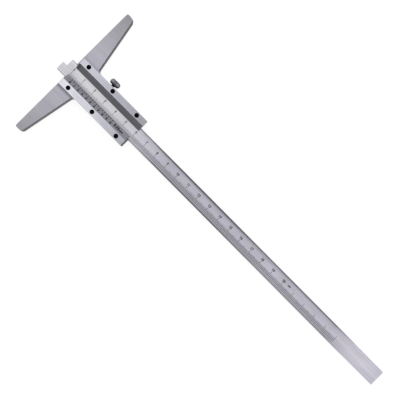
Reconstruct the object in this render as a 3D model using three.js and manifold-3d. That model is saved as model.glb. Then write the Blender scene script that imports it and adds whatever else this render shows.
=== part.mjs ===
// Vernier depth gauge, 0 to 200 mm, lying on its back.
// Millimetres. X runs along the beam towards its tail, Y across it towards the lock screw, Z up out of
// the graduated face. The origin is in the measuring face of the base, on the beam's centre line, at
// the height of the back that lies on the bench.

import * as THREE from 'three';
import { mergeVertices } from 'three/addons/utils/BufferGeometryUtils.js';
import Module from 'manifold-3d';

const wasm = await Module();
wasm.setup();

// Fits

const slideGap = 0.05; // between the beam and what guides it
const looseGap = 0.3; // beside a piece that is only trapped in place
const threadGap = 0.1; // radial room round a screw in its hole
const cutOverrun = 1; // how far a cutting body runs past the skin it cuts

// Depth beam

const beamWidth = 12;
const beamThickness = 3.6;
const beamLength = 293.4; // from the shoulder to the tail
const beamEdgeRadius = 1.5; // of the eased long edges
const fingerLength = 3.6; // the narrow end that stands out past the shoulder
const fingerWidth = 6.35;
const restReading = 4.2; // depth shown in the stored position, from the measuring face to the shoulder

// Base frame: a T with two tapered arms and a milled channel for the beam

const webThickness = 2.4; // floor of the channel, which is the back of the frame
const railWidth = 6.05;
const bodyLength = 60.4;
const lockArmLength = 41.7; // arm on the lock screw's side, from the body's side to its end
const vernierArmLength = 40.7;
const armRootDepth = 14;
const armTipDepth = 6.05;
const armNoseRadius = 1; // of an arm's end, at the measuring face
const lockArmTipRadius = 4.2; // of an arm's end, on the side away from the measuring face
const vernierArmTipRadius = 2.8;
const armFillet = 2.5;
const tailCornerRadius = 0.5;
const frameEdgeBreak = 0.25;

// Vernier plate and cover plate, bevelled down to a thin edge over the beam

const plateThickness = 2;
const thinEdge = 0.3;
const plateEdgeBreak = 0.1;
const plateSideBreak = 0.3;
const coverOverlap = 2.55; // how far the thin edge reaches in over the beam
const coverBevelWidth = 4.15;
const coverSetback = 1.3; // from the measuring face to the plate's end
const coverOverhang = 1.5; // past the tail end of the frame
const vernierOverlap = 2.85;
const vernierBevelWidth = 4.2;
const vernierSetback = 0.7;

// Plate screws, three to a plate

const screwsPerPlate = 3;
const firstScrewInset = 7.75; // from the measuring face
const lastScrewInset = 6.45; // from the tail end of the frame
const headRadius = 1.55;
const headHeight = 1.1;
const headSink = 0.1; // how far the head lies below the plate's face
const headRoom = 0.12; // round the head in its counterbore
const headChamfer = 0.15;
const slotWidth = 0.45;
const slotDepth = 0.5;
const shankRadius = 0.95;
const threadDepth = 3; // length of shank in the frame
const pointChamfer = 0.3;

// Gib spring, a bowed strip in a pocket beside the beam

const pocketDepth = 1;
const pocketInset = 5; // solid wall left at each end of the frame
const springThickness = 0.3;
const springEndGap = 0.05; // between the strip's ends and the pocket wall
const springPlay = 0.3; // between the strip's middle and the beam when the screw is free

// Lock screw with a knurled, barrel-shaped head

const lockOffset = 3.25; // from the middle screw of a plate, towards the measuring face
const lockShankRadius = 1.15;
const lockTipRadius = 0.8;
const lockTipGap = 0.05; // between the screw's tip and the strip
const lockStandoff = 0.8; // between the frame and the head
const lockHubRadius = 1.6;
const lockHubHeight = 0.45;
const knobRadius = 3.9;
const knobFaceRadius = 2.75;
const knobThickness = 3.7;
const knobDishRadius = 2.2;
const knobDishDepth = 0.35;
const knurlTeeth = 36;
const knurlDepth = 0.22;

// Facets

const holeFacets = 24;
const arcFacets = 8; // for each rounded corner
const bowFacets = 16;
const barrelRings = 6;
const stepsPerTooth = 4;

// Places worked out from the sizes above

const frameThickness = webThickness + slideGap + beamThickness + slideGap;
const channelHalf = beamWidth / 2 + slideGap;
const bodyHalf = channelHalf + railWidth;
const beamFloor = webThickness + slideGap;
const lockAxisHeight = beamFloor + beamThickness / 2;
const screwPitch = (bodyLength - firstScrewInset - lastScrewInset) / (screwsPerPlate - 1);
const screwPlaces = Array.from({ length: screwsPerPlate }, (_, i) => firstScrewInset + i * screwPitch);
const lockX = (firstScrewInset + bodyLength - lastScrewInset) / 2 - lockOffset;
const counterboreDepth = headSink + headHeight;
const pocketWall = channelHalf + pocketDepth;

// Solids: a closed mesh goes in, is cut or joined, and comes back as a mesh

function solidOf(geometry) {
	const bare = geometry.clone();
	bare.deleteAttribute('normal');
	bare.deleteAttribute('uv');
	const merged = mergeVertices(bare);
	return new wasm.Manifold(new wasm.Mesh({
		numProp: 3,
		vertProperties: new Float32Array(merged.attributes.position.array),
		triVerts: new Uint32Array(merged.index.array),
	}));
}

function geometryOf(solid) {
	const mesh = solid.getMesh();
	const indexed = new THREE.BufferGeometry();
	indexed.setAttribute('position', new THREE.BufferAttribute(new Float32Array(mesh.vertProperties), 3));
	indexed.setIndex(new THREE.BufferAttribute(new Uint32Array(mesh.triVerts), 1));
	const flat = indexed.toNonIndexed();
	flat.computeVertexNormals();
	return flat;
}

function cut(geometry, cutters) {
	return geometryOf(cutters.reduce((solid, cutter) => solid.subtract(solidOf(cutter)), solidOf(geometry)));
}

// Shapes

const alongBeam = new THREE.Matrix4().makeBasis(
	new THREE.Vector3(0, 1, 0), new THREE.Vector3(0, 0, 1), new THREE.Vector3(1, 0, 0));

// An outline whose corners are { x, y, radius }, taken anticlockwise; a corner without a radius is sharp.
function roundedOutline(corners) {
	const outline = new THREE.Shape();
	corners.forEach((corner, i) => {
		const here = new THREE.Vector2(corner.x, corner.y);
		const before = corners[(i + corners.length - 1) % corners.length];
		const after = corners[(i + 1) % corners.length];
		const back = new THREE.Vector2(before.x, before.y).sub(here).normalize();
		const ahead = new THREE.Vector2(after.x, after.y).sub(here).normalize();
		const radius = corner.radius ?? 0;
		const halfAngle = Math.acos(THREE.MathUtils.clamp(back.dot(ahead), -1, 1)) / 2;
		const reach = radius / Math.tan(halfAngle);
		const start = here.clone().addScaledVector(back, reach);
		if (i === 0) outline.moveTo(start.x, start.y);
		else outline.lineTo(start.x, start.y);
		if (radius > 0) {
			const end = here.clone().addScaledVector(ahead, reach);
			const middle = back.clone().add(ahead).normalize();
			const centre = here.clone().addScaledVector(middle, radius / Math.sin(halfAngle));
			const clockwise = back.cross(ahead) > 0;
			outline.absarc(centre.x, centre.y, radius, start.clone().sub(centre).angle(),
				end.clone().sub(centre).angle(), clockwise);
		}
	});
	outline.closePath();
	return outline;
}

// A plate of the given outline from z = 0 up, with its edges broken.
function plateOf(outline, thickness, edgeBreak) {
	const geometry = new THREE.ExtrudeGeometry(outline, {
		depth: thickness - 2 * edgeBreak,
		bevelEnabled: edgeBreak > 0,
		bevelThickness: edgeBreak,
		bevelSize: edgeBreak,
		bevelOffset: -edgeBreak,
		bevelSegments: 1,
		curveSegments: arcFacets,
	});
	return geometry.translate(0, 0, edgeBreak);
}

// A bar whose section lies in Y and Z, from x = 0 towards the tail.
function barOf(section, length, edgeBreak) {
	return plateOf(section, length, edgeBreak).applyMatrix4(alongBeam);
}

function sectionOf(points) {
	return new THREE.Shape(points.map(([y, z]) => new THREE.Vector2(y, z)));
}

function blockOf(low, high) {
	const size = high.map((value, axis) => value - low[axis]);
	const middle = high.map((value, axis) => (value + low[axis]) / 2);
	return new THREE.BoxGeometry(...size).translate(...middle);
}

// A turned shape from a profile of [radius, height] points, with its axis along Z.
function turned(profile) {
	const points = profile.map(([radius, height]) => new THREE.Vector2(radius, height));
	return new THREE.LatheGeometry(points, holeFacets).rotateX(Math.PI / 2);
}

// A turned shape's axis laid along Y, its heights counted towards the lock screw's head.
function laidAcross(geometry) {
	return geometry.rotateX(-Math.PI / 2);
}

// Depth beam, built with its shoulder at x = 0 and its back at z = 0

function depthBeam() {
	const half = beamWidth / 2;
	const section = roundedOutline([
		{ x: -half, y: 0, radius: beamEdgeRadius }, { x: half, y: 0, radius: beamEdgeRadius },
		{ x: half, y: beamThickness, radius: beamEdgeRadius }, { x: -half, y: beamThickness, radius: beamEdgeRadius },
	]);
	const bar = barOf(section, fingerLength + beamLength, 0).translate(-fingerLength, 0, 0);
	const step = blockOf(
		[-fingerLength - cutOverrun, fingerWidth - half, -cutOverrun],
		[0, half + cutOverrun, beamThickness + cutOverrun]);
	return cut(bar, [step]);
}

// Base frame

function baseOutline() {
	const lockReach = bodyHalf + lockArmLength;
	const vernierReach = bodyHalf + vernierArmLength;
	return roundedOutline([
		{ x: 0, y: lockReach, radius: armNoseRadius },
		{ x: 0, y: -vernierReach, radius: armNoseRadius },
		{ x: armTipDepth, y: -vernierReach, radius: vernierArmTipRadius },
		{ x: armRootDepth, y: -bodyHalf, radius: armFillet },
		{ x: bodyLength, y: -bodyHalf, radius: tailCornerRadius },
		{ x: bodyLength, y: bodyHalf, radius: tailCornerRadius },
		{ x: armRootDepth, y: bodyHalf, radius: armFillet },
		{ x: armTipDepth, y: lockReach, radius: lockArmTipRadius },
	]);
}

function baseFrame() {
	const channel = blockOf(
		[-cutOverrun, -channelHalf, webThickness],
		[bodyLength + cutOverrun, channelHalf, frameThickness + cutOverrun]);
	const springPocket = blockOf(
		[pocketInset, 0, webThickness],
		[bodyLength - pocketInset, pocketWall, frameThickness + cutOverrun]);
	const lockHole = laidAcross(turned([
		[0, channelHalf], [lockShankRadius + threadGap, channelHalf],
		[lockShankRadius + threadGap, bodyHalf + cutOverrun], [0, bodyHalf + cutOverrun],
	])).translate(lockX, 0, lockAxisHeight);
	const holeRadius = shankRadius + threadGap;
	const threadHoles = [coverScrewY(), vernierScrewY()].flatMap((y) => screwPlaces.map((x) => turned([
		[0, -threadDepth - looseGap], [holeRadius, -threadDepth - looseGap],
		[holeRadius, cutOverrun], [0, cutOverrun],
	]).translate(x, y, frameThickness)));
	return cut(plateOf(baseOutline(), frameThickness, frameEdgeBreak),
		[channel, springPocket, lockHole, ...threadHoles]);
}

// Bevelled plates, built with their measuring end at x = 0 and their underside at z = 0; side is 1 for
// the lock screw's side of the beam and -1 for the other

function thinEdgeOf(overlap) {
	return beamWidth / 2 - overlap;
}

function screwLine(overlap, bevelWidth) {
	return (thinEdgeOf(overlap) + bevelWidth + bodyHalf) / 2;
}

function coverScrewY() {
	return screwLine(coverOverlap, coverBevelWidth);
}

function vernierScrewY() {
	return -screwLine(vernierOverlap, vernierBevelWidth);
}

function bevelledPlate(side, overlap, bevelWidth, length, screwY, setback) {
	const inner = thinEdgeOf(overlap);
	const half = [
		[inner, 0], [bodyHalf, 0], [bodyHalf, plateThickness - plateSideBreak],
		[bodyHalf - plateSideBreak, plateThickness], [inner + bevelWidth, plateThickness], [inner, thinEdge],
	];
	const section = half.map(([y, z]) => [side * y, z]);
	if (side < 0) section.reverse();
	const bar = barOf(sectionOf(section), length, plateEdgeBreak);
	const corners = [
		{ x: 0, y: side * inner },
		{ x: 0, y: side * bodyHalf, radius: tailCornerRadius },
		{ x: length, y: side * bodyHalf, radius: tailCornerRadius },
		{ x: length, y: side * inner },
	];
	if (side > 0) corners.reverse();
	const plan = plateOf(roundedOutline(corners), plateThickness, 0);
	const floor = plateThickness - counterboreDepth;
	const screwHoles = screwPlaces.map((x) => turned([
		[0, -cutOverrun], [shankRadius + threadGap, -cutOverrun], [shankRadius + threadGap, floor],
		[headRadius + headRoom, floor], [headRadius + headRoom, plateThickness + cutOverrun],
		[0, plateThickness + cutOverrun],
	]).translate(x - setback, screwY, 0));
	return cut(geometryOf(solidOf(bar).intersect(solidOf(plan))), screwHoles);
}

// Plate screw, built with the underside of its head at z = 0

function plateScrew() {
	const shankLength = plateThickness - counterboreDepth + threadDepth;
	const blank = turned([
		[0, -shankLength], [shankRadius - pointChamfer, -shankLength],
		[shankRadius, pointChamfer - shankLength], [shankRadius, 0], [headRadius, 0],
		[headRadius, headHeight - headChamfer], [headRadius - headChamfer, headHeight], [0, headHeight],
	]);
	const slot = blockOf(
		[-headRadius - cutOverrun, -slotWidth / 2, headHeight - slotDepth],
		[headRadius + cutOverrun, slotWidth / 2, headHeight + cutOverrun]);
	return cut(blank, [slot]);
}

// Gib spring, built with its middle at x = 0 and the back of its bow at y = 0

const springHalfLength = (bodyLength - 2 * pocketInset) / 2 - looseGap;
const springBack = beamWidth / 2 + springPlay + springThickness;
const springRise = pocketWall - springEndGap - springBack;

function gibSpring() {
	const backRadius = (springHalfLength ** 2 + springRise ** 2) / (2 * springRise);
	const halfAngle = Math.asin(springHalfLength / backRadius);
	const down = -Math.PI / 2;
	const strip = new THREE.Shape();
	strip.absarc(0, backRadius, backRadius + springThickness, down - halfAngle, down + halfAngle, false);
	strip.absarc(0, backRadius, backRadius, down + halfAngle, down - halfAngle, true);
	strip.closePath();
	return new THREE.ExtrudeGeometry(strip, {
		depth: frameThickness - webThickness - 2 * looseGap,
		bevelEnabled: false,
		curveSegments: bowFacets,
	});
}

// Lock screw, built along Z with its head's inner face at z = 0 and its tip below

function knurledBarrel() {
	const steps = knurlTeeth * stepsPerTooth;
	const crown = knobRadius - knobFaceRadius;
	const rings = Array.from({ length: barrelRings + 1 }, (_, i) => {
		const height = i / barrelRings;
		return [knobFaceRadius + crown * Math.sqrt(Math.sin(Math.PI * height)), height * knobThickness];
	});
	const positions = [0, 0, 0];
	rings.forEach(([radius, z], ring) => {
		const cutShare = ring === 0 || ring === barrelRings ? 0 : 1;
		for (let step = 0; step < steps; step++) {
			const angle = 2 * Math.PI * step / steps;
			const tooth = (1 - Math.cos(knurlTeeth * angle)) / 2;
			const r = radius - cutShare * knurlDepth * tooth;
			positions.push(r * Math.cos(angle), r * Math.sin(angle), z);
		}
	});
	positions.push(0, 0, knobThickness);
	const top = positions.length / 3 - 1;
	const indices = [];
	for (let step = 0; step < steps; step++) {
		const next = (step + 1) % steps;
		indices.push(0, 1 + next, 1 + step);
		for (let ring = 0; ring < barrelRings; ring++) {
			const low = 1 + ring * steps;
			const high = low + steps;
			indices.push(low + step, low + next, high + next);
			indices.push(low + step, high + next, high + step);
		}
		indices.push(top, top - steps + step, top - steps + next);
	}
	const geometry = new THREE.BufferGeometry();
	geometry.setAttribute('position', new THREE.Float32BufferAttribute(positions, 3));
	geometry.setIndex(indices);
	return geometry;
}

const lockTipY = springBack + lockTipGap;
const lockReach = bodyHalf + lockStandoff - lockTipY;

function lockScrew() {
	const stud = turned([
		[0, -lockReach], [lockTipRadius, -lockReach],
		[lockShankRadius, lockShankRadius - lockTipRadius - lockReach], [lockShankRadius, -lockHubHeight],
		[lockHubRadius, 0], [lockHubRadius, knobThickness / 2], [0, knobThickness / 2],
	]);
	const dish = turned([
		[0, knobThickness - knobDishDepth], [knobDishRadius - knobDishDepth, knobThickness - knobDishDepth],
		[knobDishRadius, knobThickness], [knobDishRadius, knobThickness + cutOverrun],
		[0, knobThickness + cutOverrun],
	]);
	return geometryOf(solidOf(knurledBarrel()).subtract(solidOf(dish)).add(solidOf(stud)));
}

// Finishes

function steel(name, color, roughness, metalness = 1) {
	return new THREE.MeshStandardMaterial({ name, color, roughness, metalness });
}

function piece(name, geometry, material, [x, y, z]) {
	const mesh = new THREE.Mesh(geometry, material);
	mesh.name = name;
	mesh.position.set(x, y, z);
	return mesh;
}

// Assembly

const slider = new THREE.Group();
slider.add(
	piece('base_frame', baseFrame(), steel('satin steel', 0xa9a9b0, 0.42), [0, 0, 0]),
	piece('vernier_plate',
		bevelledPlate(-1, vernierOverlap, vernierBevelWidth, bodyLength - vernierSetback,
			vernierScrewY(), vernierSetback),
		steel('satin chrome', 0xc9c9d2, 0.35), [vernierSetback, 0, frameThickness]),
	piece('cover_plate',
		bevelledPlate(1, coverOverlap, coverBevelWidth, bodyLength + coverOverhang - coverSetback,
			coverScrewY(), coverSetback),
		steel('satin chrome', 0xc9c9d2, 0.35), [coverSetback, 0, frameThickness]),
);

const headSeat = frameThickness + plateThickness - counterboreDepth;
for (const [plate, y] of [['vernier', vernierScrewY()], ['cover', coverScrewY()]]) {
	screwPlaces.forEach((x, i) => {
		slider.add(piece(`${plate}_plate_screw_${i + 1}`, plateScrew(),
			steel('blackened steel', 0x141414, 0.5, 0.6), [x, y, headSeat]));
	});
}

const clamp = new THREE.Group();
clamp.add(
	piece('gib_spring', gibSpring(), steel('spring bronze', 0xb08a4a, 0.4),
		[bodyLength / 2, springBack, webThickness + looseGap]),
	piece('lock_screw', laidAcross(lockScrew()), steel('knurled steel', 0x77777c, 0.4),
		[lockX, bodyHalf + lockStandoff, lockAxisHeight]),
);
slider.add(clamp);

const depthGauge = new THREE.Group();
depthGauge.add(
	slider,
	piece('depth_beam', depthBeam(), steel('ground steel', 0xb8b8bd, 0.38), [-restReading, 0, beamFloor]),
);

export default depthGauge;
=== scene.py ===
# %% [markdown]
# # A vernier depth gauge in satin steel
#
# The gauge is a flat graduated beam that slides through a T-shaped base. The CAD model already holds
# every piece at its real size, down to the knurl of the lock screw. This lesson gives those pieces their
# finish, engraves and numbers the scales, and lights the gauge as a catalogue photograph does.

# %% Load the frame
import math

import bmesh
import bpy
from mathutils import Matrix, Vector


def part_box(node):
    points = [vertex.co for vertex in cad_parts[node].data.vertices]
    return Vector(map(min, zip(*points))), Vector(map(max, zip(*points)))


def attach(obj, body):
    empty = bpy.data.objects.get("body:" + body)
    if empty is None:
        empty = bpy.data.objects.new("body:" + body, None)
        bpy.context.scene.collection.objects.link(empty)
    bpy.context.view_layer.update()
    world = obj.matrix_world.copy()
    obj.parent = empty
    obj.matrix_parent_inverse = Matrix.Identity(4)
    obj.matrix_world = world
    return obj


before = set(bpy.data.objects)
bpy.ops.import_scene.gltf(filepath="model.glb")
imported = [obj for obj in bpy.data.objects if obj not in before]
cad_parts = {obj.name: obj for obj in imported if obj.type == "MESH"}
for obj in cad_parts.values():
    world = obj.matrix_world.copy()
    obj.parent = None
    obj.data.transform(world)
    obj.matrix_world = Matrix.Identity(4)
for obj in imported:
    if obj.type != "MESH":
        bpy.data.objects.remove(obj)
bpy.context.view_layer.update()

MM = 0.001
print("pieces:", sorted(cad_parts))

# %% [markdown]
# ## The camera
#
# The photograph looks down on the gauge from almost straight above, leaning a little towards the
# beam's tail, and turned so that the gauge runs from corner to corner. A camera could be aimed by eye,
# but the numbered marks of the beam are 10 mm apart on the real thing, so the view was fitted to them
# instead. Building the camera from a few named values keeps the view easy to change.

# %% Camera
FACE_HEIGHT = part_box("depth_beam")[1].z
VIEW_CENTRE = Vector((126.4 * MM, 0.0, FACE_HEIGHT))
VIEW_LEAN = math.radians(7.27)
VIEW_TURN = math.radians(45.22)
VIEW_DISTANCE = 1200 * MM
VIEW_SLIDE = Vector((1.6 * MM, -1.7 * MM, 0.0))
VIEW_FIELD = math.radians(12.61)
SEEN_FROM = 10 * MM
SEEN_TO = 20.0


def photo_camera():
    camera = bpy.data.objects.new("photo_camera", bpy.data.cameras.new("photo_camera"))
    camera.data.angle = VIEW_FIELD
    camera.data.clip_start = SEEN_FROM
    camera.data.clip_end = SEEN_TO
    lean = Matrix.Rotation(VIEW_LEAN, 4, "Y")
    turn = Matrix.Rotation(VIEW_TURN, 4, "Z")
    back = Matrix.Translation(Vector((0.0, 0.0, VIEW_DISTANCE)) - VIEW_SLIDE)
    camera.matrix_world = Matrix.Translation(VIEW_CENTRE) @ lean @ turn @ back
    bpy.context.scene.collection.objects.link(camera)
    bpy.context.scene.camera = camera
    return camera


camera = photo_camera()
bpy.context.scene.view_settings.view_transform = "Standard"
print("camera stands at", [round(c / MM) for c in camera.matrix_world.translation], "mm")

# %% [markdown]
# ## Building node trees in code
#
# Materials and Geometry Nodes are both trees of nodes, which most people draw by hand. In a script it
# is shorter to have one small helper that adds a node, sets its options and fills its inputs. An input
# that is given a socket is linked, and any other value is typed in. Greys get a helper too, because the
# steels here differ mostly in how light they are, and most of them lean a little towards lavender.


# %% Helpers for node trees
def add(tree, kind, inputs=None, **options):
    node = tree.nodes.new(kind)
    for name, value in options.items():
        setattr(node, name, value)
    for key, value in (inputs or {}).items():
        if isinstance(value, bpy.types.NodeSocket):
            tree.links.new(value, node.inputs[key])
        else:
            node.inputs[key].default_value = value
    return node


def math_node(tree, operation, *values):
    return add(tree, "ShaderNodeMath", dict(enumerate(values)), operation=operation).outputs[0]


def three_parts(tree, vector):
    """The X, Y and Z of a place or a direction, as three sockets."""
    return add(tree, "ShaderNodeSeparateXYZ", {"Vector": vector}).outputs


def new_material(name):
    material = bpy.data.materials.new(name)
    material.use_nodes = True
    material.node_tree.nodes.clear()
    return material


def grey(level, cool=0.10, pink=0.3):
    """A steel grey; cool adds blue, and pink takes away green, which turns the blue to lavender."""
    return (level, level * (1 - pink * cool), level * (1 + cool), 1.0)


print("a middling steel:", [round(part, 3) for part in grey(0.45)])

# %% [markdown]
# ## Scratches and patches
#
# A grinding belt leaves scratches that all run one way, some millimetres long and finer than a hair. A
# picture of real steel could be laid on, but it would repeat, and blur close up. Noise that is
# stretched along X looks the same at any distance. It reads Object coordinates, so it stays put on a
# piece that moves. A second noise, not stretched, stands for the dull patches that handling leaves.

# %% Scratches and patches
GRAIN_LENGTH = 9 * MM
GRAIN_WIDTH = 0.07 * MM
GRAIN_DETAIL = 3.0
GRAIN_HARSHNESS = 0.6
PATCH_SIZE = 14 * MM
PATCH_DETAIL = 2.0
PATCH_HARSHNESS = 0.5


def grain(tree, point, length, width, detail=GRAIN_DETAIL):
    stretched = add(tree, "ShaderNodeMapping", {
        "Vector": point, "Scale": (1 / length, 1 / width, 1 / width)}, vector_type="POINT")
    noise = add(tree, "ShaderNodeTexNoise", {
        "Vector": stretched.outputs[0], "Scale": 1.0, "Detail": detail, "Roughness": GRAIN_HARSHNESS})
    return noise.outputs["Fac"]


def patches(tree, point, size, seed):
    shifted = add(tree, "ShaderNodeMapping", {"Vector": point, "Location": (seed, seed, seed)})
    noise = add(tree, "ShaderNodeTexNoise", {
        "Vector": shifted.outputs[0], "Scale": 1 / size, "Detail": PATCH_DETAIL,
        "Roughness": PATCH_HARSHNESS})
    return noise.outputs["Fac"]


print("a scratch is", round(GRAIN_LENGTH / GRAIN_WIDTH), "times as long as it is wide")

# %% [markdown]
# ## Blending by place and by facing
#
# Real steel is seldom one tone, and painted light and shade are laid on it here too: a bevel, a stretch
# painted darker or a corner painted into shade differs from the rest. Each could have a material on faces
# of its own, but the pieces come with their faces, and such a border would be hard. Instead, a number
# between 0 and 1 that follows the place or the direction of a face blends two tones, with a border as
# soft as wanted. Edges are found by comparing the true direction of a face with a rounded one: where the
# two differ, an edge is near.

# %% Blending
NOISE_LOW = 0.3
NOISE_HIGH = 0.7
EDGE_WIDTH = 0.12 * MM
EDGE_SAMPLES = 4
EDGE_WEAR = 0.6
EDGE_AGREES = (0.75, 0.98)  # how well the two directions agree, at an edge and on an open face


def spread(tree, value, low, high, low_in=NOISE_LOW, high_in=NOISE_HIGH):
    """low at low_in and beyond it, high at high_in and beyond it, and a straight ramp between them."""
    return add(tree, "ShaderNodeMapRange", {
        "Value": value, "From Min": low_in, "From Max": high_in, "To Min": low, "To Max": high}
    ).outputs["Result"]


def between(tree, value, low, high, soft):
    """1 between low and high, falling to 0 over a soft margin outside them."""
    rise = spread(tree, value, 0.0, 1.0, low - soft, low)
    fall = spread(tree, value, 1.0, 0.0, high, high + soft)
    return math_node(tree, "MULTIPLY", rise, fall)


def mix_colour(tree, factor, first, second):
    """The first colour at a factor of 0, the second at 1. Inputs 6 and 7 are the node's two colours."""
    node = add(tree, "ShaderNodeMix", {0: factor, 6: first, 7: second}, data_type="RGBA")
    return node.outputs[2]


def edge_wear(tree, normal):
    """0 on open faces, rising near edges, where handling has rubbed the steel bright."""
    rounded = add(tree, "ShaderNodeBevel", {"Radius": EDGE_WIDTH}, samples=EDGE_SAMPLES).outputs[0]
    own = add(tree, "ShaderNodeVectorTransform", {"Vector": rounded},
              vector_type="NORMAL", convert_from="WORLD", convert_to="OBJECT").outputs[0]
    agree = add(tree, "ShaderNodeVectorMath", {0: own, 1: normal}, operation="DOT_PRODUCT")
    return spread(tree, agree.outputs["Value"], EDGE_WEAR, 0.0, *EDGE_AGREES)


print("edges are worn over", EDGE_WIDTH / MM, "mm")

# %% [markdown]
# ## Ground steel
#
# The real gauge looks like stainless steel that was ground with a belt. Under soft light its scratches
# show as faint streaks in tone and gloss. One set of scratches drives the colour, the roughness and a
# very shallow bump, so they agree with each other; colour alone would look printed, and bump alone would
# vanish from this far away. Every bright piece uses this one recipe, so that all look like one stock.
# What differs is four tones: of the open face, of the milled faces that look sideways, of those that
# look to the tail, and of worn edges. Each of the first three may be a function instead, which gives
# the tone of any spot from its place and the way it faces. On most pieces the faces that look to the
# tail are given a dark tone, a painted shade, as the light comes from the head's side.

# %% Ground steel
SCRATCH_DEPTH = 0.012 * MM
SCRATCH_RELIEF = 0.35
COARSE_LENGTH = 4 * GRAIN_LENGTH
COARSE_WIDTH = 6 * GRAIN_WIDTH
COARSE_DETAIL = 2.0
STREAK = 0.10
STREAK_GLOSS = 0.04
PATCH_TONE = (0.97, 1.03)
PATCH_GLOSS = (-0.03, 0.05)
LOOKS_UP = (0.75, 0.88)
LOOKS_TO_TAIL = (0.3, 0.6)


def where_and_which_way(tree, point, normal):
    """The place of a spot along and across the gauge, and how far it looks each way."""
    along, across = three_parts(tree, point)[0:2]
    to_tail, to_lock, up = three_parts(tree, normal)
    return {"along": along, "across": across, "to tail": to_tail, "to lock": to_lock,
            "upright": math_node(tree, "ABSOLUTE", up)}


def ground_steel(name, face, side, rear, worn, roughness, looks_up=LOOKS_UP, streak=STREAK, seed=1.0):
    """Satin steel from its tones. face, side and rear may also be functions of the tree and a spot."""
    material = new_material(name)
    tree = material.node_tree
    coordinates = add(tree, "ShaderNodeTexCoord").outputs
    point, normal = coordinates["Object"], coordinates["Normal"]
    fine = grain(tree, point, GRAIN_LENGTH, GRAIN_WIDTH)
    coarse = grain(tree, point, COARSE_LENGTH, COARSE_WIDTH, detail=COARSE_DETAIL)
    dull = patches(tree, point, PATCH_SIZE, seed)
    spot = where_and_which_way(tree, point, normal)
    face, side, rear = (tone(tree, spot) if callable(tone) else tone for tone in (face, side, rear))
    # Faces that look to the tail take the rear tone, which on most pieces is painted shade.
    tailward = spread(tree, spot["to tail"], 0.0, 1.0, *LOOKS_TO_TAIL)
    upward = spread(tree, spot["upright"], 0.0, 1.0, *looks_up)
    colour = mix_colour(tree, upward, mix_colour(tree, tailward, side, rear), face)
    colour = mix_colour(tree, edge_wear(tree, normal), colour, worn)
    light = math_node(tree, "ADD", spread(tree, fine, 1 - streak, 1 + streak),
                      spread(tree, coarse, -streak, streak))
    light = math_node(tree, "MULTIPLY", light, spread(tree, dull, *PATCH_TONE))
    toned = add(tree, "ShaderNodeVectorMath", {0: colour, "Scale": light}, operation="SCALE").outputs[0]
    rough = math_node(tree, "ADD", spread(tree, dull, *PATCH_GLOSS),
                      spread(tree, fine, roughness - STREAK_GLOSS, roughness + STREAK_GLOSS))
    relief = add(tree, "ShaderNodeBump", {
        "Strength": SCRATCH_RELIEF, "Distance": SCRATCH_DEPTH, "Height": fine}).outputs[0]
    shader = add(tree, "ShaderNodeBsdfPrincipled", {
        "Base Color": toned, "Metallic": 1.0, "Roughness": rough, "Normal": relief})
    add(tree, "ShaderNodeOutputMaterial", {"Surface": shader.outputs[0]})
    return material


def dress(node, material):
    """Puts one material on a CAD piece, in place of its plain colour."""
    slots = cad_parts[node].data.materials
    slots.clear()
    slots.append(material)
    print(node, "wears", material.name)


print("scratches are", SCRATCH_DEPTH / MM, "mm deep and change the tone by", STREAK)

# %% [markdown]
# ## The base
#
# The base is one block of steel: two tapered arms and the body that the beam slides through. Its arms
# are painted darker towards their ends, the one on the lock screw's side more, as painted shade, and a
# painted shadow lies beside the step of each plate. The ends that look to the tail are painted nearly
# black, as shade. Lamps and shadows could bring some of this, but then it would change with every view,
# so this painted light and shade is kept in the tone of the steel, as a function of the place.

# %% Base
ARM_ROOT = grey(0.425)
ARM_SIDE = grey(0.40)
BASE_ROUGHNESS = 0.42
# Painted shade: the arms darken towards their ends, the one on the lock screw's side more.
VERNIER_ARM_END = grey(0.35, 0.06)
LOCK_ARM_END = grey(0.28, 0.06)
ARM_FADE = (20 * MM, 52 * MM)
ARMS_MEET = (-1 * MM, 1 * MM)
# Painted shadow that the step of each plate casts on the arm beside it, stronger on the vernier's side.
STEP_SHADOW = grey(0.12)
VERNIER_STEP_SHADOW = (-13 * MM, -12 * MM, 1.8 * MM)  # from, to, soft margin
VERNIER_STEP_SHADOW_SHARE = 0.55
COVER_STEP_SHADOW = (12 * MM, 12.8 * MM, 1.6 * MM)
COVER_STEP_SHADOW_SHARE = 0.2
# Painted shade on the faces that look to the tail, darkest at the end of the body.
ARM_REAR = grey(0.055)
BODY_END = grey(0.01)
BODY_REACH = (20 * MM, 50 * MM)


def base_rear(tree, spot):
    """The tone of faces that look to the tail, painted shade: dull on the arms, dark at the end of the
    body.
    """
    return mix_colour(tree, spread(tree, spot["along"], 0.0, 1.0, *BODY_REACH), ARM_REAR, BODY_END)


def base_face(tree, spot):
    """The tone of the upper faces: painted shade towards the arms' ends, and a painted shadow beside the
    plates.
    """
    across = spot["across"]
    end = mix_colour(tree, spread(tree, across, 0.0, 1.0, *ARMS_MEET), VERNIER_ARM_END, LOCK_ARM_END)
    outwards = spread(tree, math_node(tree, "ABSOLUTE", across), 0.0, 1.0, *ARM_FADE)
    by_vernier = math_node(tree, "MULTIPLY", between(tree, across, *VERNIER_STEP_SHADOW), VERNIER_STEP_SHADOW_SHARE)
    by_cover = math_node(tree, "MULTIPLY", between(tree, across, *COVER_STEP_SHADOW), COVER_STEP_SHADOW_SHARE)
    step_shadow = math_node(tree, "ADD", by_vernier, by_cover)
    return mix_colour(tree, step_shadow, mix_colour(tree, outwards, ARM_ROOT, end), STEP_SHADOW)


dress("base_frame", ground_steel(
    "ground steel of the base", base_face, ARM_SIDE, base_rear, ARM_ROOT, BASE_ROUGHNESS))
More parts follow.
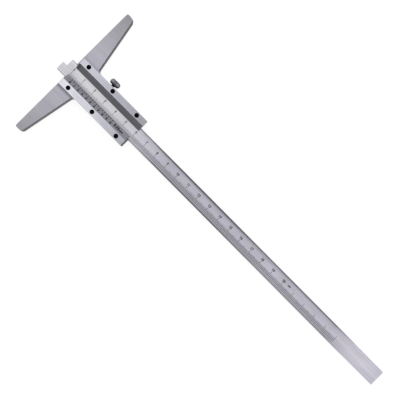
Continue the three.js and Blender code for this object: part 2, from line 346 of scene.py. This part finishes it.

# %% [markdown]
# ## The two plates
#
# The plates close the channel over the beam. Their flats are satin chrome, bright near the measuring
# face and painted darker towards the tail, a painted falloff of light. Their bevels are given a dark
# tone, painted shade for the dim room that they mirror. The cover's looks the darker of the two, because
# it mirrors the dim side of the room. A bevel could get a material by picking its faces, but the
# sideways part of its direction already tells it from the flat.

# %% Plates
# Painted falloff of light: each flat goes from its head tone to a darker tone at the tail.
COVER_FLAT = grey(0.56, 0.12, -0.1)
COVER_FLAT_AT_TAIL = grey(0.33, 0.12, 0.0)
# The dark bevel tones are painted shade, for the dim room that the bevels mirror.
COVER_BEVEL = grey(0.15)
COVER_BEVEL_START = grey(0.085)
COVER_SIDE = grey(0.40)
# Painted shade on the ends that look to the tail.
COVER_REAR = grey(0.06)
VERNIER_FLAT = grey(0.73, 0.10, -0.1)
VERNIER_FLAT_AT_TAIL = grey(0.40, 0.12, -0.1)
VERNIER_BEVEL = grey(0.16)
VERNIER_BEVEL_START = grey(0.174)
# Painted shade: the vernier plate's sides are dark, so the arm beside its step mirrors shade, and its
# tail end is nearly black.
VERNIER_SIDE = grey(0.06)
VERNIER_REAR = grey(0.02)
PLATE_FADE = (8 * MM, 60 * MM)
BEVEL_START = (2 * MM, 4.5 * MM)
BEVEL_LEANS = (0.2, 0.3)
CHROME_ROUGHNESS = 0.34
CHROME_LOOKS_UP = (0.55, 0.70)


def plate_face(sign, flats, bevels):
    """A plate's tones, each pair from head to tail; sign gives the side of Y that its bevel looks to."""
    def face(tree, spot):
        flat = mix_colour(tree, spread(tree, spot["along"], 0.0, 1.0, *PLATE_FADE), *flats)
        bevel = mix_colour(tree, spread(tree, spot["along"], 0.0, 1.0, *BEVEL_START), *bevels)
        towards = math_node(tree, "MULTIPLY", spot["to lock"], sign)
        return mix_colour(tree, spread(tree, towards, 0.0, 1.0, *BEVEL_LEANS), flat, bevel)
    return face


cover_face = plate_face(-1.0, (COVER_FLAT, COVER_FLAT_AT_TAIL), (COVER_BEVEL_START, COVER_BEVEL))
vernier_face = plate_face(1.0, (VERNIER_FLAT, VERNIER_FLAT_AT_TAIL), (VERNIER_BEVEL_START, VERNIER_BEVEL))
dress("cover_plate", ground_steel(
    "satin chrome of the cover plate", cover_face, COVER_SIDE, COVER_REAR, COVER_FLAT,
    CHROME_ROUGHNESS, looks_up=CHROME_LOOKS_UP, seed=2.0))
dress("vernier_plate", ground_steel(
    "satin chrome of the vernier plate", vernier_face, VERNIER_SIDE, VERNIER_REAR, VERNIER_FLAT,
    CHROME_ROUGHNESS, looks_up=CHROME_LOOKS_UP, seed=3.0))

# %% [markdown]
# ## The open face of the beam
#
# The beam is ground like the base. Its tone carries painted light and shade along it: lighter over the
# stretch that runs in and out of the base, darker in the middle, and lighter again at the tail. A faint
# haze of filling lies among the fine ticks, as it does on a real scale after it is wiped, and thins out
# behind the last one. Towards the edge on the lock screw's side the face goes gently greyer, and darkens
# just before it: painted shade, for the dark that the rounded edge mirrors. Each of these is one blend
# more, laid over the last.

# %% Beam, open face
BEAM_STEEL = grey(0.492)
# Painted light and shade along the beam: lighter by the base and at the tail, darker in the middle.
BEAM_LIT = grey(0.592, 0.04)
BEAM_DIMMED = grey(0.45)
BEAM_TAIL = grey(0.61)
LIT_TO = 42 * MM
LIT_FADE = 42 * MM
DIMMED = (112 * MM, 152 * MM, 38 * MM)  # from, to, soft margin
TAIL_FADE = (235 * MM, 275 * MM)
HAZE = grey(0.1)
# The second haze share is for the stretch by the base that is painted lighter.
HAZE_SHARE = (0.23, 0.11)  # on the clean beam, and where it is polished
HAZE_BEGINS = (0.0, 1 * MM)
HAZE_THINS = (250 * MM, 262 * MM)
HAZE_LEFT = 0.35  # of that share, on the tail
TICKS_ACROSS = (-4.3 * MM, -1.3 * MM, 0.7 * MM)  # from, to, soft margin
# Painted shade near the edge on the lock screw's side, for the dark that the rounded edge mirrors.
EDGE_DARK = grey(0.09)
EDGES_DARKEN = (22 * MM, 86 * MM)
EDGES_BRIGHTEN = (245 * MM, 265 * MM)
GREYED = 0.12
GREYS_ALONG = (0.0, 60 * MM)
GREYS_ACROSS = (1.2 * MM, 3.8 * MM)
# The second share is for the middle stretch that is painted darker.
ROLLED = (0.27, 0.5)  # on the clean beam, and where it is handled
ROLLS_ACROSS = (3.7 * MM, 4.5 * MM)


def edge_dirt(tree, along):
    """1 where the beam's edges are painted dark, falling to 0 where they are painted light: at the base
    and the tail.
    """
    darken = spread(tree, along, 0.0, 1.0, *EDGES_DARKEN)
    return math_node(tree, "MULTIPLY", darken, spread(tree, along, 1.0, 0.0, *EDGES_BRIGHTEN))


def beam_face(tree, spot):
    """The tone of the graduated face, with painted light and shade: stretches along the beam first, then
    what differs across it.
    """
    along, across = spot["along"], spot["across"]
    lit = spread(tree, along, 1.0, 0.0, LIT_TO, LIT_TO + LIT_FADE)
    dimmed = between(tree, along, *DIMMED)
    body = mix_colour(tree, spread(tree, along, 0.0, 1.0, *TAIL_FADE), BEAM_STEEL, BEAM_TAIL)
    body = mix_colour(tree, dimmed, body, BEAM_DIMMED)
    body = mix_colour(tree, lit, body, BEAM_LIT)
    haze = math_node(tree, "MULTIPLY", spread(tree, along, 0.0, 1.0, *HAZE_BEGINS),
                     spread(tree, along, 1.0, HAZE_LEFT, *HAZE_THINS))
    haze = math_node(tree, "MULTIPLY", haze, between(tree, across, *TICKS_ACROSS))
    haze = math_node(tree, "MULTIPLY", haze, spread(tree, lit, *HAZE_SHARE, 0.0, 1.0))
    body = mix_colour(tree, haze, body, HAZE)
    greyed = math_node(tree, "MULTIPLY", spread(tree, along, 0.0, GREYED, *GREYS_ALONG),
                       spread(tree, across, 0.0, 1.0, *GREYS_ACROSS))
    body = mix_colour(tree, greyed, body, EDGE_DARK)
    rolled = math_node(tree, "MULTIPLY", edge_dirt(tree, along),
                       spread(tree, across, 0.0, 1.0, *ROLLS_ACROSS))
    rolled = math_node(tree, "MULTIPLY", rolled, spread(tree, dimmed, *ROLLED, 0.0, 1.0))
    return mix_colour(tree, rolled, body, EDGE_DARK)


print("polished to", round(LIT_TO / MM), "mm, handled around",
      round((DIMMED[0] + DIMMED[1]) / 2 / MM), "mm")

# %% [markdown]
# ## The rounded edges of the beam
#
# The long edges are rounded, so a face there leans by any angle from flat to sideways, and the size of
# the direction's Z part says by how much. These tones are painted reflection, for the room that the
# rounding mirrors. Along the middle of the beam the rounding begins dark, most of all over the stretch
# painted darker, which draws the two lines that frame the scale, and is lighter where it has turned
# down to the side. At both ends it is painted light: bright at the tail, and at the head with a last
# dark line on the vernier's side. Strips of extra faces could carry these tones, but the angle is enough.

# %% Beam, rounded edges
EDGES_DIMMED = (95 * MM, 140 * MM, 45 * MM)  # from, to, soft margin
# Painted reflection on the dark edges: tones elsewhere, and over the stretch painted darker
TURNED_DOWN = (grey(0.56), grey(0.34))
BEGINS_BY_LOCK = (grey(0.13), grey(0.07))
BEGINS_BY_VERNIER = (grey(0.30), grey(0.165))
HAS_TURNED_DOWN = (0.68, 0.55)  # size of the Z part, from where it starts to where it is full
LOCK_SIDE = (-0.1, 0.1)
# Painted reflection at the ends, by the vernier and by the lock screw: where the rounding begins, then
# further round
HEAD_TONES = ((grey(0.98), grey(0.42)), (grey(0.26), grey(0.51)))
TAIL_TONES = ((grey(0.60), grey(0.36)), (grey(0.80), grey(0.84)))
FURTHER_ROUND = (0.86, 0.74)  # size of the Z part, as above
# Painted shade on the end that looks to the tail.
BEAM_REAR = grey(0.2)
BEAM_ROUGHNESS = 0.36
BEAM_LOOKS_UP = (0.965, 0.995)


def rubbed_edge(tree, by_lock, further, tones):
    """The painted reflection on a rounded edge at an end of the beam, from where its rounding begins to
    further round.
    """
    begins, ends = (mix_colour(tree, by_lock, *pair) for pair in tones)
    return mix_colour(tree, further, begins, ends)


def beam_edges(tree, spot):
    """The tone of a rounded edge, painted reflection, by its place along the beam, its side and how far
    it has turned.
    """
    along, upright = spot["along"], spot["upright"]
    by_lock = spread(tree, spot["to lock"], 0.0, 1.0, *LOCK_SIDE)
    dimmed = between(tree, along, *EDGES_DIMMED)
    turned_down, lock_side, vernier_side = (
        mix_colour(tree, dimmed, *pair) for pair in (TURNED_DOWN, BEGINS_BY_LOCK, BEGINS_BY_VERNIER))
    begins = mix_colour(tree, by_lock, vernier_side, lock_side)
    has_turned = spread(tree, upright, 0.0, 1.0, *HAS_TURNED_DOWN)
    dark_edge = mix_colour(tree, has_turned, begins, turned_down)
    further = spread(tree, upright, 0.0, 1.0, *FURTHER_ROUND)
    end_edges = mix_colour(tree, spread(tree, along, 0.0, 1.0, *TAIL_FADE),
                        rubbed_edge(tree, by_lock, further, HEAD_TONES),
                        rubbed_edge(tree, by_lock, further, TAIL_TONES))
    return mix_colour(tree, edge_dirt(tree, along), end_edges, dark_edge)


dress("depth_beam", ground_steel(
    "ground steel of the beam", beam_face, beam_edges, BEAM_REAR, BEAM_STEEL, BEAM_ROUGHNESS,
    looks_up=BEAM_LOOKS_UP, seed=4.0))

# %% [markdown]
# ## Black screws
#
# The six plate screws are blackened: a dark oxide with a faint oily sheen. Black paint would do as one
# flat colour, but oxide is uneven, so a fine speckle changes its tone, its gloss and a shallow relief
# together. To the eye it isn't bare metal, so its shader is a dull dark one and not a metallic one.

# %% Screws
OXIDE_TONE = 0.0012
OXIDE_GRAIN = 0.25 * MM
OXIDE_DEPTH = 0.01 * MM
OXIDE_RELIEF = 0.3
OXIDE_GLEAM = 0.03
OXIDE_LIGHTEST = 2.2  # times that tone, in the lightest specks
OXIDE_ROUGHNESS = (0.42, 0.58)


def blackened(name, level):
    material = new_material(name)
    tree = material.node_tree
    point = add(tree, "ShaderNodeTexCoord").outputs["Object"]
    speckle = patches(tree, point, OXIDE_GRAIN, seed=5.0)
    colour = mix_colour(tree, spread(tree, speckle, 0.0, 1.0), grey(level), grey(OXIDE_LIGHTEST * level))
    relief = add(tree, "ShaderNodeBump", {
        "Strength": OXIDE_RELIEF, "Distance": OXIDE_DEPTH, "Height": speckle}).outputs[0]
    shader = add(tree, "ShaderNodeBsdfPrincipled", {
        "Base Color": colour, "Specular IOR Level": OXIDE_GLEAM, "Normal": relief,
        "Roughness": spread(tree, speckle, *OXIDE_ROUGHNESS)})
    add(tree, "ShaderNodeOutputMaterial", {"Surface": shader.outputs[0]})
    return material


oxide = blackened("black oxide of the screws", OXIDE_TONE)
for node in sorted(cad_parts):
    if "_screw_" in node:
        dress(node, oxide)

# %% [markdown]
# ## The gib spring
#
# A bowed strip of rolled bronze lies in a pocket between the beam and the body, and the lock screw
# presses it. It doesn't show while the gauge is whole, but any piece may be taken out and looked at by
# itself, so it gets a finish too. The steel's recipe does for it in a bronze tone, because rolling
# leaves long streaks just as grinding does.

# %% Gib spring
BRONZE = (0.52, 0.33, 0.15, 1.0)
BRONZE_ROUGHNESS = 0.35
dress("gib_spring", ground_steel(
    "rolled bronze of the spring", BRONZE, BRONZE, BRONZE, BRONZE, BRONZE_ROUGHNESS))

# %% [markdown]
# ## The lock screw
#
# The lock screw is turned steel with a knurled head, which the CAD model holds tooth by tooth. What is
# left for the finish is painted shade: the neck next to the base is painted nearly black, for the shadow
# under the head, and the outer rim is painted darker than the crown. Both follow the place along the
# screw's own axis, so they turn with it and stay true in every pose.

# %% Lock screw
KNOB_STEEL = grey(0.27)
# Painted shade: the rim, the neck next to the base and the faces that look to the tail.
KNOB_RIM = grey(0.12)
KNOB_SHADOW = grey(0.012)
KNOB_REAR = grey(0.08)
KNOB_ROUGHNESS = 0.36
KNOB_STREAK = 0.06
KNOB_THICKNESS = 3.7 * MM
KNOB_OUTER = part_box("lock_screw")[1].y
KNOB_INNER = KNOB_OUTER - KNOB_THICKNESS
SHADOWED = (0.6 * MM, 1.5 * MM)  # from the inner face, fading to
RIM = (1.3 * MM, 0.3 * MM)  # from the outer face, full at


def knob_tone(tree, spot):
    """The tone along the screw's axis: painted shadow next to the base, bare steel, then the rim in
    painted shade.
    """
    across = spot["across"]
    shadowed = spread(tree, across, 1.0, 0.0, KNOB_INNER + SHADOWED[0], KNOB_INNER + SHADOWED[1])
    rim = spread(tree, across, 0.0, 1.0, KNOB_OUTER - RIM[0], KNOB_OUTER - RIM[1])
    return mix_colour(tree, shadowed, mix_colour(tree, rim, KNOB_STEEL, KNOB_RIM), KNOB_SHADOW)


dress("lock_screw", ground_steel(
    "steel of the lock screw", knob_tone, knob_tone, KNOB_REAR, KNOB_STEEL, KNOB_ROUGHNESS,
    streak=KNOB_STREAK))

# %% [markdown]
# ## A graduation from Geometry Nodes
#
# A graduation is the same short line again and again, some of them longer by a rule. A loop could place
# each line, but Geometry Nodes show the rule itself: a row of points, and on each point a thin bar whose
# length depends on the point's number. The sizes are named inputs, so the beam and the vernier plate
# use the same tree. Each bar is half sunk in the steel and stands a hundredth of a millimetre proud, as
# rubbed-down filling does.

# %% The graduation tree
MARK_RELIEF = 0.012 * MM
MARK_THICKNESS = 2 * MARK_RELIEF
GRADUATION_INPUTS = {
    "Count": "Int", "Long every": "Int", "Middle every": "Int", "Pitch": "Float", "First": "Float",
    "Foot": "Float", "Short": "Float", "Middle": "Float", "Long": "Float", "Width": "Float",
    "Thickness": "Float", "Direction": "Float", "Finish": "Material"}


def graduation_tree():
    tree = bpy.data.node_groups.new("graduation", "GeometryNodeTree")
    sizes = {}
    for name, kind in GRADUATION_INPUTS.items():
        socket = tree.interface.new_socket(name=name, in_out="INPUT", socket_type="NodeSocket" + kind)
        sizes[name] = socket.identifier
    tree.interface.new_socket(name="Geometry", in_out="OUTPUT", socket_type="NodeSocketGeometry")
    given = tree.nodes.new("NodeGroupInput").outputs
    step = add(tree, "ShaderNodeCombineXYZ", {"X": given["Pitch"]})
    start = add(tree, "ShaderNodeCombineXYZ", {"X": given["First"], "Y": given["Foot"]})
    row = add(tree, "GeometryNodeMeshLine", {
        "Count": given["Count"], "Start Location": start.outputs[0], "Offset": step.outputs[0]},
        mode="OFFSET")
    number = add(tree, "GeometryNodeInputIndex").outputs[0]

    def length_by(every, size, otherwise):
        """The named size where the point's number divides by every, and otherwise what is given."""
        remainder = math_node(tree, "MODULO", number, given[every])
        hit = math_node(tree, "LESS_THAN", remainder, 0.5)
        gain = math_node(tree, "MULTIPLY", hit, math_node(tree, "SUBTRACT", given[size], otherwise))
        return math_node(tree, "ADD", otherwise, gain)

    length = length_by("Long every", "Long", length_by("Middle every", "Middle", given["Short"]))
    bar = add(tree, "GeometryNodeMeshCube")
    half = math_node(tree, "DIVIDE", math_node(tree, "MULTIPLY", length, given["Direction"]), 2.0)
    lift = add(tree, "ShaderNodeCombineXYZ", {"Y": half})
    spaced = add(tree, "GeometryNodeSetPosition", {"Geometry": row.outputs[0], "Offset": lift.outputs[0]})
    size = add(tree, "ShaderNodeCombineXYZ", {"X": given["Width"], "Y": length, "Z": given["Thickness"]})
    bars = add(tree, "GeometryNodeInstanceOnPoints", {
        "Points": spaced.outputs[0], "Instance": bar.outputs[0], "Scale": size.outputs[0]})
    real = add(tree, "GeometryNodeRealizeInstances", {"Geometry": bars.outputs[0]})
    done = add(tree, "GeometryNodeSetMaterial", {
        "Geometry": real.outputs[0], "Material": given["Finish"]})
    add(tree, "NodeGroupOutput", {"Geometry": done.outputs[0]})
    return tree, sizes


graduation, graduation_inputs = graduation_tree()
print("the graduation tree has", len(graduation.nodes), "nodes and", len(graduation_inputs), "inputs")

# %% [markdown]
# ## From a tree to a plain mesh
#
# A modifier keeps its tree live, which is handy while sizes are still changing. A finished piece is
# better as a plain mesh, because it then weighs what it shows and exports as it stands. So the tree runs
# once on an empty object, its result is copied into a new mesh, and the empty object is deleted.


# %% Run a tree
def made_by(tree, sizes, name, values):
    """A plain mesh object from a Geometry Nodes tree and its named inputs."""
    maker = bpy.data.objects.new("maker", bpy.data.meshes.new("maker"))
    bpy.context.scene.collection.objects.link(maker)
    modifier = maker.modifiers.new("nodes", "NODES")
    modifier.node_group = tree
    for key, value in values.items():
        modifier[sizes[key]] = value
    shown = maker.evaluated_get(bpy.context.evaluated_depsgraph_get())
    mesh = bpy.data.meshes.new_from_object(shown)
    mesh.name = name
    bpy.data.objects.remove(maker)
    piece = bpy.data.objects.new(name, mesh)
    bpy.context.scene.collection.objects.link(piece)
    print(name, "has", len(mesh.polygons), "faces")
    return piece


# %% [markdown]
# ## The filling of the marks
#
# Engraved marks are filled with black and rubbed down, and the filling wears where things slide over
# it. On this beam the marks near the base have gone grey, and those further out are nearly black. Two
# fillings could meet at some mark, but wear has no such border, so the tone follows the place along the
# beam. A fine speckle in tone and gloss keeps the black from looking printed.

# %% Filling
VERNIER_BLACK = 0.006
BEAM_BLACK = 0.05
BEAM_WORN = 0.16
FILLING_LIGHTEST = 3  # times the black, in the lightest specks
FILLING_SPECKS = (0.45, 0.8)  # the noise at which a speck begins, and at which it is full
FILLING_GLEAM = 0.1
FILLING_ROUGHNESS = (0.5, 0.7)
WORN_FADE = (50 * MM, 110 * MM)
FILLING_GRAIN = 0.8 * MM


def filling(name, black, worn_to=None):
    """Dark filling. worn_to, if given, is how grey it has become where the beam slides in the base."""
    material = new_material(name)
    tree = material.node_tree
    point = add(tree, "ShaderNodeTexCoord").outputs["Object"]
    speckle = patches(tree, point, FILLING_GRAIN, seed=7.0)
    colour = mix_colour(tree, spread(tree, speckle, 0.0, 1.0, *FILLING_SPECKS),
                        grey(black), grey(FILLING_LIGHTEST * black))
    if worn_to:
        along = three_parts(tree, point)[0]
        colour = mix_colour(tree, spread(tree, along, 1.0, 0.0, *WORN_FADE), colour, grey(worn_to))
    shader = add(tree, "ShaderNodeBsdfPrincipled", {
        "Base Color": colour, "Specular IOR Level": FILLING_GLEAM,
        "Roughness": spread(tree, speckle, *FILLING_ROUGHNESS)})
    add(tree, "ShaderNodeOutputMaterial", {"Surface": shader.outputs[0]})
    return material


beam_filling = filling("black filling of the beam's marks", BEAM_BLACK, BEAM_WORN)
vernier_filling = filling("black filling of the vernier", VERNIER_BLACK)
print("fillings:", beam_filling.name, "and", vernier_filling.name)

# %% [markdown]
# ## The graduation of the beam
#
# The beam is graduated in millimetres up to 250. Its zero belongs to the shoulder near its end: when
# the shoulder is level with the measuring face, the gauge reads nought. The photograph shows it 4.2 mm
# out, which is the reading at rest. Every fifth line is longer, and every tenth longer still.

# %% Beam graduation
REST_READING = 4.2 * MM
ZERO_FROM_SHOULDER = 5.75 * MM
BEAM_ZERO = ZERO_FROM_SHOULDER - REST_READING
SCALE_LENGTH = 250
MARK_FOOT = -4.3 * MM
MARK_WIDTH = 0.28 * MM
TICK = 2.85 * MM
HALF_LINE = 3.5 * MM
FULL_LINE = 5.0 * MM


def on_beam(piece):
    piece.data.transform(Matrix.Translation((0.0, 0.0, FACE_HEIGHT)))
    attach(piece, "beam")


beam_marks = made_by(graduation, graduation_inputs, "beam_graduation", {
    "Count": SCALE_LENGTH + 1, "Long every": 10, "Middle every": 5, "Pitch": MM, "First": BEAM_ZERO,
    "Foot": MARK_FOOT, "Short": TICK, "Middle": HALF_LINE, "Long": FULL_LINE, "Width": MARK_WIDTH,
    "Thickness": MARK_THICKNESS, "Direction": 1.0, "Finish": beam_filling})
on_beam(beam_marks)

# %% [markdown]
# ## Numerals
#
# The numerals are engraved and filled like the lines. They could be drawn stroke by stroke, but a text
# object gives clean outlines at once. Each text is turned into a mesh first and only then scaled to its
# real height and moved to its line, because a text object carries its place outside its outline. It is
# then given the height of the filling, with its faces turned outwards. All the numerals of one scale
# are joined into one object, so that they stay together.

# %% Numerals
NUMERAL_WEIGHT = 0.055
CAPITAL_SHARE = 0.73  # of a text's nominal size
CURVE_STEPS = 3
DOUBLES_WITHIN = 1e-4  # of a text's height


def lettering(text, height, weight, closeness, thickness):
    """A bmesh of one piece of text, centred on x = 0 with its foot at y = 0."""
    curve = bpy.data.curves.new("lettering", "FONT")
    curve.body = text
    curve.size = 1.0
    curve.resolution_u = CURVE_STEPS
    curve.offset = weight
    curve.space_character = closeness
    writer = bpy.data.objects.new("lettering", curve)
    bpy.context.scene.collection.objects.link(writer)
    bpy.context.view_layer.update()
    mesh = bpy.data.meshes.new_from_object(writer.evaluated_get(bpy.context.evaluated_depsgraph_get()))
    bpy.data.objects.remove(writer)
    across = [v.co.x for v in mesh.vertices]
    centre = (min(across) + max(across)) / 2
    to_size = Matrix.Scale(height / CAPITAL_SHARE, 4)
    mesh.transform(to_size @ Matrix.Translation((-centre, 0.0, 0.0)))
    shape = bmesh.new()
    shape.from_mesh(mesh)
    bpy.data.meshes.remove(mesh)
    bmesh.ops.remove_doubles(shape, verts=shape.verts, dist=height * DOUBLES_WITHIN)
    raised = bmesh.ops.extrude_face_region(shape, geom=list(shape.faces))
    tops = [v for v in raised["geom"] if isinstance(v, bmesh.types.BMVert)]
    bmesh.ops.translate(shape, verts=tops, vec=(0.0, 0.0, thickness))
    bmesh.ops.recalc_face_normals(shape, faces=shape.faces)
    return shape


def written(name, texts, finish, weight=NUMERAL_WEIGHT, closeness=1.0):
    """One object from texts, each with its x, y and height, lying in the plane z = 0."""
    joined = bmesh.new()
    for text, x, y, height in texts:
        shape = lettering(text, height, weight, closeness, MARK_RELIEF)
        part = bpy.data.meshes.new("part")
        shape.to_mesh(part)
        shape.free()
        part.transform(Matrix.Translation((x, y, 0.0)))
        joined.from_mesh(part)
        bpy.data.meshes.remove(part)
    mesh = bpy.data.meshes.new(name)
    joined.to_mesh(mesh)
    joined.free()
    mesh.materials.append(finish)
    piece = bpy.data.objects.new(name, mesh)
    bpy.context.scene.collection.objects.link(piece)
    print(name, "has", len(mesh.polygons), "faces")
    return piece


print("a text of size 1 has capitals", CAPITAL_SHARE, "high")

# %% [markdown]
# ## The numbers of the beam
#
# The beam is numbered in centimetres from 0 to 20, each number over its long line, with the unit just
# after the last in smaller letters. The lines run on to 250 mm without numbers. The row comes from a
# loop over the centimetres, so it can't drift away from the lines.

# %% Beam numerals
CENTIMETRES = 20
NUMBER_STEP = 10 * MM
NUMERAL_FOOT = 1.0 * MM
NUMERAL_HEIGHT = 1.7 * MM
UNIT_X = BEAM_ZERO + 204.75 * MM
UNIT_FOOT = 1.2 * MM
UNIT_HEIGHT = 1.4 * MM

beam_texts = [(str(n), BEAM_ZERO + n * NUMBER_STEP, NUMERAL_FOOT, NUMERAL_HEIGHT)
              for n in range(CENTIMETRES + 1)]
on_beam(written("beam_numerals", beam_texts, beam_filling))
on_beam(written("beam_unit", [("cm", UNIT_X, UNIT_FOOT, UNIT_HEIGHT)], beam_filling))

# %% [markdown]
# ## The slope of the vernier plate
#
# The vernier's marks lie on the bevel of its plate, which leans down to a thin edge over the beam. The
# lean could be typed in from a drawing, but the plate is here to be measured: the largest face that
# neither lies flat nor stands upright is the bevel. Its direction and its lowest corner give one matrix,
# whose X runs along the plate and whose Y runs down to the thin edge. Whatever is drawn flat in the
# plane z = 0 is laid on the bevel by it.

# %% Slope of the vernier plate
SLOPE_LEANS = (0.5, 0.99)  # least and most upright part of a sloping face's direction


def bevel_plane(node):
    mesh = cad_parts[node].data
    slopes = [face for face in mesh.polygons if SLOPE_LEANS[0] < face.normal.z < SLOPE_LEANS[1]]
    bevel = max(slopes, key=lambda face: face.area)
    lowest = min((mesh.vertices[i].co for i in bevel.vertices), key=lambda corner: corner.z)
    out = bevel.normal.normalized()
    along = Vector((1.0, 0.0, 0.0))
    down = out.cross(along)
    place = Matrix((along, down, out)).transposed().to_4x4()
    print("the bevel leans", round(math.degrees(math.acos(out.z)), 1), "degrees, down to z",
          round(lowest.z / MM, 2), "mm")
    return Matrix.Translation((0.0, lowest.y, lowest.z)) @ place


on_bevel = bevel_plane("vernier_plate")

# %% [markdown]
# ## The vernier
#
# Twenty vernier divisions cover 39 mm, so each is 1.95 mm, a twentieth of a millimetre short of two,
# and the gauge reads to 0.05 mm. The vernier's zero stands as far from the measuring face as the beam's
# zero stands from its shoulder, so that both read nought together. The marks are drawn flat with the
# same tree as the beam's, then the matrix lays them on the slope. They start at the thin edge and run
# up the bevel, which is why their direction is reversed. Behind the last of them stands 0.05mm, what
# the vernier reads to, with its digits placed one by one, because they stand a little unevenly.

# %% Vernier
VERNIER_DIVISIONS = 20
VERNIER_PITCH = 39 * MM / VERNIER_DIVISIONS
VERNIER_ZERO = ZERO_FROM_SHOULDER
VERNIER_WIDTH = 0.36 * MM
VERNIER_TICK = 1.6 * MM
VERNIER_LINE = 2.0 * MM
VERNIER_NUMERAL_FOOT = -3.95 * MM
VERNIER_NUMERAL_HEIGHT = 1.65 * MM
READS_TO_FOOT = -2.97 * MM
READS_TO_WEIGHT = 0.052
READS_TO_CLOSENESS = 0.97
READS_TO = (  # text, place after the vernier's zero, height
    ("0", 42.3 * MM, 1.95 * MM), (".", 43.35 * MM, 1.95 * MM), ("0", 44.45 * MM, 1.95 * MM),
    ("5", 45.85 * MM, 1.95 * MM), ("mm", 48.3 * MM, 1.6 * MM))

vernier_marks = made_by(graduation, graduation_inputs, "vernier_graduation", {
    "Count": VERNIER_DIVISIONS + 1, "Long every": 2, "Middle every": 2, "Pitch": VERNIER_PITCH,
    "First": VERNIER_ZERO, "Foot": 0.0, "Short": VERNIER_TICK, "Middle": VERNIER_TICK,
    "Long": VERNIER_LINE, "Width": VERNIER_WIDTH, "Thickness": MARK_THICKNESS, "Direction": -1.0,
    "Finish": vernier_filling})
tenths = [
    (str(n % 10), VERNIER_ZERO + 2 * n * VERNIER_PITCH, VERNIER_NUMERAL_FOOT, VERNIER_NUMERAL_HEIGHT)
    for n in range(VERNIER_DIVISIONS // 2 + 1)]
vernier_numerals = written("vernier_numerals", tenths, vernier_filling)
reads_to = [(text, VERNIER_ZERO + x, READS_TO_FOOT, height) for text, x, height in READS_TO]
vernier_unit = written("vernier_unit", reads_to, vernier_filling, READS_TO_WEIGHT, READS_TO_CLOSENESS)
for piece in (vernier_marks, vernier_numerals, vernier_unit):
    piece.data.transform(on_bevel)
    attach(piece, "base")
print("vernier pitch", round(VERNIER_PITCH / MM, 3), "mm")

# %% [markdown]
# ## The floor
#
# The photograph has a clean white ground with hardly a shadow. A white floor under enough light would
# give that, but the steel would be burnt out by then. So the floor is a dull grey that glows to the
# camera: the glow makes it white, and the little light that it still takes keeps the soft shadow that
# seats the gauge. Rays that come off the steel see the same glow, so the steel mirrors a white floor.

# %% Floor
FLOOR_REACH = 3.0
FLOOR_TONE = (0.2, 0.2, 0.2, 1.0)
FLOOR_GLOW = 0.86
WHITE = (1.0, 1.0, 1.0, 1.0)


def floor():
    mesh = bpy.data.meshes.new("floor")
    corners = [(x * FLOOR_REACH, y * FLOOR_REACH, 0.0) for x, y in ((-1, -1), (1, -1), (1, 1), (-1, 1))]
    mesh.from_pydata(corners, [], [(0, 1, 2, 3)])
    ground = bpy.data.objects.new("floor", mesh)
    bpy.context.scene.collection.objects.link(ground)
    material = new_material("white floor")
    tree = material.node_tree
    ray = add(tree, "ShaderNodeLightPath").outputs
    seen = math_node(tree, "MAXIMUM", ray["Is Camera Ray"], ray["Is Glossy Ray"])
    seen = math_node(tree, "MAXIMUM", seen, ray["Is Transmission Ray"])
    glow = add(tree, "ShaderNodeEmission", {
        "Color": WHITE, "Strength": math_node(tree, "MULTIPLY", seen, FLOOR_GLOW)})
    dull = add(tree, "ShaderNodeBsdfDiffuse", {"Color": FLOOR_TONE})
    both = add(tree, "ShaderNodeAddShader", {0: dull.outputs[0], 1: glow.outputs[0]})
    add(tree, "ShaderNodeOutputMaterial", {"Surface": both.outputs[0]})
    mesh.materials.append(material)
    return ground


ground = floor()
print(ground.name, "is", 2 * FLOOR_REACH, "m wide")

# %% [markdown]
# ## The sky
#
# Steel shows what it mirrors, and from above it mirrors the sky overhead. An even white sky would make
# every face the same, so the sky is a little darker away from the lock screw, as a room with its window
# on one side is. It turns white low down all round, which joins it to the floor when the gauge is seen
# from the side.

# %% Sky
SKY_SHADE = 0.30
SKY_SHADE_FADE = (-0.7, 0.7)
OVERHEAD = (0.2, 0.5)


def sky():
    world = bpy.data.worlds.new("studio")
    bpy.context.scene.world = world
    world.use_nodes = True
    tree = world.node_tree
    tree.nodes.clear()
    direction = three_parts(tree, add(tree, "ShaderNodeTexCoord").outputs["Generated"])
    shade = spread(tree, direction[1], SKY_SHADE, 0.0, *SKY_SHADE_FADE)
    overhead = spread(tree, direction[2], 0.0, 1.0, *OVERHEAD)
    level = math_node(tree, "SUBTRACT", 1.0, math_node(tree, "MULTIPLY", shade, overhead))
    light = add(tree, "ShaderNodeBackground", {"Color": WHITE, "Strength": level})
    add(tree, "ShaderNodeOutputWorld", {"Surface": light.outputs[0]})


sky()
print("the sky is", 1 - SKY_SHADE, "at its darkest")

# %% [markdown]
# ## The lamp
#
# One round softbox hangs above the gauge on the lock screw's side. It is wide for its distance, so its
# shadows have soft borders. Its power is low, because the sky already lights every colour about as it is
# written, and the softbox only has to say from which side the light comes.

# %% Lamp
LAMP_PLACE = Vector((-0.1, 0.55, 1.15))
LAMP_TARGET = Vector((0.1, 0.0, 0.0))
LAMP_SIZE = 0.8
LAMP_POWER = 2.5


def lamp(name):
    light = bpy.data.lights.new(name, "AREA")
    light.shape = "DISK"
    light.size = LAMP_SIZE
    light.energy = LAMP_POWER
    holder = bpy.data.objects.new(name, light)
    holder.location = LAMP_PLACE
    holder.rotation_euler = (LAMP_TARGET - LAMP_PLACE).to_track_quat("-Z", "Y").to_euler()
    bpy.context.scene.collection.objects.link(holder)


lamp("softbox")
lamp_distance = (LAMP_PLACE - LAMP_TARGET).length
print("the softbox is", LAMP_SIZE, "m wide and hangs", round(lamp_distance, 2), "m away")
